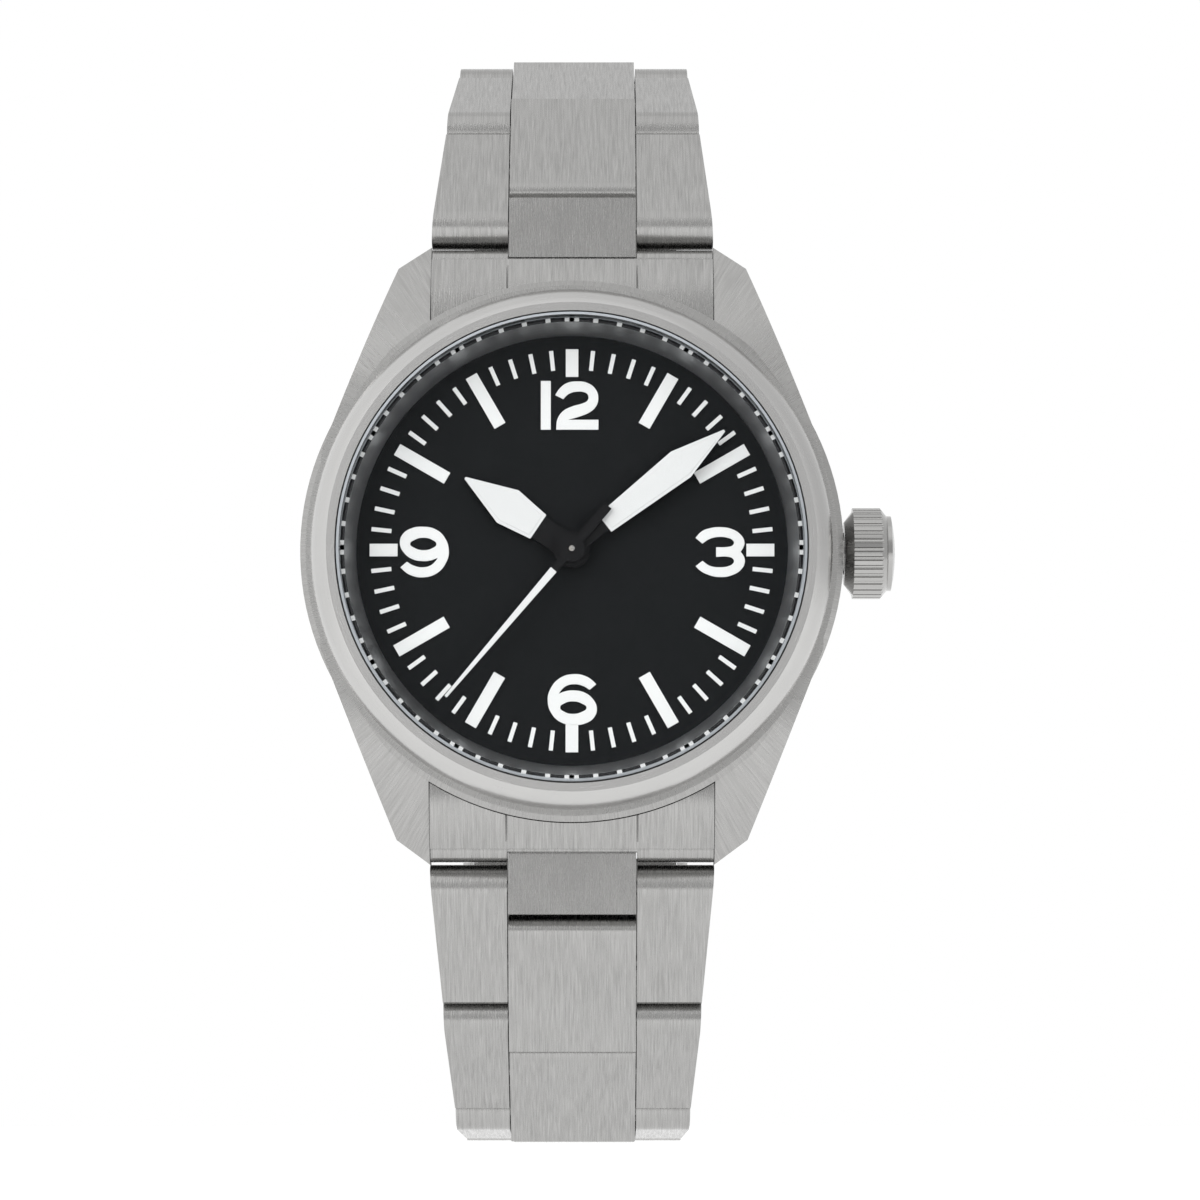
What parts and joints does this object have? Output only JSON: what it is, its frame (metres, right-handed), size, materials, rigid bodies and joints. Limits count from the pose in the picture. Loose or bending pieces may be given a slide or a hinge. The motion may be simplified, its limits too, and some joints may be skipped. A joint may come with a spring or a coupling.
{
  "type": "field wristwatch",
  "caption": "Self-winding field wristwatch with a black numeral dial, smooth bezel and a closed three-piece link bracelet with a folding clasp.",
  "frame": {"origin": "centre of the case back's flat outer face", "axes": "+Z towards 12 o'clock, +X towards 3 o'clock and the crown, the dial looks along -Y"},
  "size_m": [0.0417, 0.0527, 0.0811],
  "materials": {
    "brushed_steel": "satin brushed",
    "polished_steel": "polished",
    "crystal": "clear sapphire",
    "seal": "matte black",
    "chapter": "satin grey",
    "dial": "matte black",
    "print": "off-white print",
    "hand": "light satin with pale lume",
    "plate": "rhodium plated",
    "brass": "gilt",
    "spring": "blued steel",
    "jewel": "synthetic ruby",
    "spacer": "black spacer"
  },
  "bodies": {
    "watch": {"case_middle": "brushed_steel", "bezel": "polished_steel", "crystal": "crystal", "crystal_gasket": "seal", "chapter_ring": "chapter", "dial": "dial", "dial_markers": "print", "movement_ring": "spacer", "case_back": "brushed_steel", "case_back_gasket": "seal", "crown_tube": "polished_steel", "main_plate": "plate", "train_bridge": "plate", "balance_cock": "plate", "rotor_bearing": "polished_steel", "bridge_screws": "polished_steel", "jewels": "jewel", "hairspring": "spring", "end_link_top": "brushed_steel", "end_link_bottom": "brushed_steel", "spring_bars": "polished_steel"},
    "minute": {"cannon_pinion": "polished_steel", "minute_hand": "hand"},
    "hour": {"hour_wheel": "brass", "hour_hand": "hand"},
    "motion": {"minute_wheel": "brass"},
    "seconds": {"fourth_wheel": "brass", "second_hand": "hand"},
    "third": {"third_wheel": "brass"},
    "centre": {"centre_wheel": "brass"},
    "barrel": {"mainspring_barrel": "brass", "mainspring": "spring"},
    "escape": {"escape_wheel": "polished_steel"},
    "fork": {"pallet_fork": "polished_steel"},
    "balance": {"balance_wheel": "brass"},
    "rotor": {"rotor": "plate"},
    "winding": {"winding_pinion": "polished_steel"},
    "crown": {"crown": "polished_steel", "winding_stem": "polished_steel", "crown_gasket": "seal"},
    "crown_wheel": {"crown_wheel": "polished_steel"},
    "ratchet": {"ratchet_wheel": "polished_steel"},
    "lever": {"setting_lever": "polished_steel"},
    "upper_1": {"upper_row_1": "brushed_steel"},
    "upper_2": {"upper_row_2": "brushed_steel"},
    "upper_3": {"upper_row_3": "brushed_steel"},
    "upper_4": {"upper_row_4": "brushed_steel"},
    "upper_5": {"upper_row_5": "brushed_steel"},
    "lower_1": {"lower_row_1": "brushed_steel"},
    "lower_2": {"lower_row_2": "brushed_steel"},
    "lower_3": {"lower_row_3": "brushed_steel"},
    "lower_4": {"lower_row_4": "brushed_steel"},
    "lower_5": {"lower_row_5": "brushed_steel"},
    "lower_6": {"lower_row_6": "brushed_steel"},
    "cover": {"clasp_cover": "brushed_steel", "clasp_bars": "polished_steel"},
    "middle_blade": {"clasp_middle_blade": "brushed_steel"},
    "inner_blade": {"clasp_inner_blade": "brushed_steel"},
    "button_left": {"clasp_button_left": "polished_steel"},
    "button_right": {"clasp_button_right": "polished_steel"}
  },
  "joints": [
    {"name": "set_hands", "type": "hinge", "parent": "watch", "child": "minute", "pos_m": [0, -0.00605, 0], "axis": [0, 1, 0], "continuous": true},
    {"name": "minute_wheel_turn", "type": "hinge", "parent": "watch", "child": "motion", "pos_m": [0.00218, -0.00605, -0.00101], "axis": [0, 1, 0], "continuous": true},
    {"name": "hour_turn", "type": "hinge", "parent": "watch", "child": "hour", "pos_m": [0, -0.0063, 0], "axis": [0, 1, 0], "continuous": true},
    {"name": "seconds_turn", "type": "hinge", "parent": "watch", "child": "seconds", "pos_m": [0, -0.0045, 0], "axis": [0, 1, 0], "continuous": true},
    {"name": "third_turn", "type": "hinge", "parent": "watch", "child": "third", "pos_m": [-0.00355, -0.0045, -0.00129], "axis": [0, 1, 0], "continuous": true},
    {"name": "centre_turn", "type": "hinge", "parent": "watch", "child": "centre", "pos_m": [0, -0.0045, 0], "axis": [0, 1, 0], "continuous": true},
    {"name": "barrel_turn", "type": "hinge", "parent": "watch", "child": "barrel", "pos_m": [0.00361, -0.0045, 0.00516], "axis": [0, 1, 0], "continuous": true},
    {"name": "escape_turn", "type": "hinge", "parent": "watch", "child": "escape", "pos_m": [0.00193, -0.0045, -0.00333], "axis": [0, 1, 0], "continuous": true},
    {"name": "balance_swing", "type": "hinge", "parent": "watch", "child": "balance", "pos_m": [-0.00186, -0.0045, -0.00874], "axis": [0, 1, 0], "range_deg": [-270, 270]},
    {"name": "fork_rock", "type": "hinge", "parent": "watch", "child": "fork", "pos_m": [0.0002, -0.0045, -0.00579], "axis": [0, 1, 0], "range_deg": [-5, 5]},
    {"name": "rotor_spin", "type": "hinge", "parent": "watch", "child": "rotor", "pos_m": [0, -0.00175, 0], "axis": [0, -1, 0], "continuous": true},
    {"name": "crown_turn", "type": "hinge", "parent": "watch", "child": "winding", "pos_m": [0.00905, -0.0042, 0], "axis": [1, 0, 0], "continuous": true},
    {"name": "crown_wheel_turn", "type": "hinge", "parent": "watch", "child": "crown_wheel", "pos_m": [0.00652, -0.00273, 0], "axis": [0, -1, 0], "continuous": true},
    {"name": "ratchet_turn", "type": "hinge", "parent": "watch", "child": "ratchet", "pos_m": [0.00361, -0.00273, 0.00516], "axis": [0, -1, 0], "continuous": true},
    {"name": "crown_pull", "type": "slide", "parent": "winding", "child": "crown", "axis": [1, 0, 0], "range_m": [0, 0.0015]},
    {"name": "lever_swing", "type": "hinge", "parent": "watch", "child": "lever", "pos_m": [0.011, -0.00476, -0.0034], "axis": [0, 1, 0], "range_deg": [0, 25.6]},
    {"name": "open_upper_half", "type": "hinge", "parent": "watch", "child": "upper_1", "pos_m": [0, -0.0026, 0.0235], "axis": [1, 0, 0], "range_deg": [0, 37]},
    {"name": "upper_hinge_2", "type": "hinge", "parent": "upper_1", "child": "upper_2", "pos_m": [0, 0.00342, 0.03149], "axis": [1, 0, 0], "range_deg": [0, 24.2]},
    {"name": "upper_hinge_3", "type": "hinge", "parent": "upper_2", "child": "upper_3", "pos_m": [0, 0.01216, 0.03633], "axis": [1, 0, 0], "range_deg": [0, 26.2]},
    {"name": "upper_hinge_4", "type": "hinge", "parent": "upper_3", "child": "upper_4", "pos_m": [0, 0.02215, 0.03686], "axis": [1, 0, 0], "range_deg": [0, 33.2]},
    {"name": "upper_hinge_5", "type": "hinge", "parent": "upper_4", "child": "upper_5", "pos_m": [0, 0.03081, 0.03186], "axis": [1, 0, 0], "range_deg": [0, 35.2]},
    {"name": "open_lower_half", "type": "hinge", "parent": "watch", "child": "lower_1", "pos_m": [0, -0.0026, -0.0235], "axis": [-1, 0, 0], "range_deg": [0, 22.5]},
    {"name": "lower_hinge_2", "type": "hinge", "parent": "lower_1", "child": "lower_2", "pos_m": [0, 0.00123, -0.03274], "axis": [-1, 0, 0], "range_deg": [0, 26.2]},
    {"name": "lower_hinge_3", "type": "hinge", "parent": "lower_2", "child": "lower_3", "pos_m": [0, 0.00872, -0.03936], "axis": [-1, 0, 0], "range_deg": [0, 34.7]},
    {"name": "lower_hinge_4", "type": "hinge", "parent": "lower_3", "child": "lower_4", "pos_m": [0, 0.01864, -0.04058], "axis": [-1, 0, 0], "range_deg": [0, 29.7]},
    {"name": "lower_hinge_5", "type": "hinge", "parent": "lower_4", "child": "lower_5", "pos_m": [0, 0.02788, -0.03676], "axis": [-1, 0, 0], "range_deg": [0, 27.7]},
    {"name": "lower_hinge_6", "type": "hinge", "parent": "lower_5", "child": "lower_6", "pos_m": [0, 0.03431, -0.0291], "axis": [-1, 0, 0], "range_deg": [0, 25.2]},
    {"name": "cover_hinge", "type": "hinge", "parent": "lower_6", "child": "cover", "pos_m": [0, 0.0369, -0.01944], "axis": [-1, 0, 0], "range_deg": [0, 17.72]},
    {"name": "middle_blade_hinge", "type": "hinge", "parent": "cover", "child": "middle_blade", "pos_m": [0, 0.03676, 0.01705], "axis": [-1, 0, 0], "range_deg": [0, 171]},
    {"name": "inner_blade_hinge", "type": "hinge", "parent": "middle_blade", "child": "inner_blade", "pos_m": [0, 0.03761, -0.00948], "axis": [1, 0, 0], "range_deg": [0, 171]},
    {"name": "button_left_press", "type": "slide", "parent": "cover", "child": "button_left", "axis": [1, 0, 0], "range_m": [0, 0.0004], "stiffness_N_per_m": 400, "springref_m": -0.0006},
    {"name": "button_right_press", "type": "slide", "parent": "cover", "child": "button_right", "axis": [-1, 0, 0], "range_m": [0, 0.0004], "stiffness_N_per_m": 400, "springref_m": -0.0006}
  ],
  "couplings": [
    {"joint": "minute_wheel_turn", "follows": "set_hands", "ratio": -0.33333},
    {"joint": "hour_turn", "follows": "set_hands", "ratio": 0.083333},
    {"joint": "third_turn", "follows": "seconds_turn", "ratio": -0.13333},
    {"joint": "centre_turn", "follows": "seconds_turn", "ratio": 0.016667},
    {"joint": "barrel_turn", "follows": "seconds_turn", "ratio": -0.0027778},
    {"joint": "escape_turn", "follows": "seconds_turn", "ratio": -10},
    {"joint": "crown_wheel_turn", "follows": "crown_turn", "ratio": 0.45161},
    {"joint": "ratchet_turn", "follows": "crown_turn", "ratio": -0.29167},
    {"joint": "lever_swing", "follows": "crown_pull", "rad_per_m": 294.12},
    {"joint": "upper_hinge_2", "follows": "open_upper_half", "ratio": 0.64865},
    {"joint": "upper_hinge_3", "follows": "open_upper_half", "ratio": 0.7027},
    {"joint": "upper_hinge_4", "follows": "open_upper_half", "ratio": 0.89189},
    {"joint": "upper_hinge_5", "follows": "open_upper_half", "ratio": 0.94595},
    {"joint": "lower_hinge_2", "follows": "open_lower_half", "ratio": 1.1556},
    {"joint": "lower_hinge_3", "follows": "open_lower_half", "ratio": 1.5333},
    {"joint": "lower_hinge_4", "follows": "open_lower_half", "ratio": 1.3111},
    {"joint": "lower_hinge_5", "follows": "open_lower_half", "ratio": 1.2222},
    {"joint": "lower_hinge_6", "follows": "open_lower_half", "ratio": 1.1111},
    {"joint": "cover_hinge", "follows": "open_lower_half", "ratio": 0.77873},
    {"joint": "middle_blade_hinge", "follows": "open_lower_half", "ratio": 7.5556},
    {"joint": "inner_blade_hinge", "follows": "open_lower_half", "ratio": 7.5556}
  ]
}
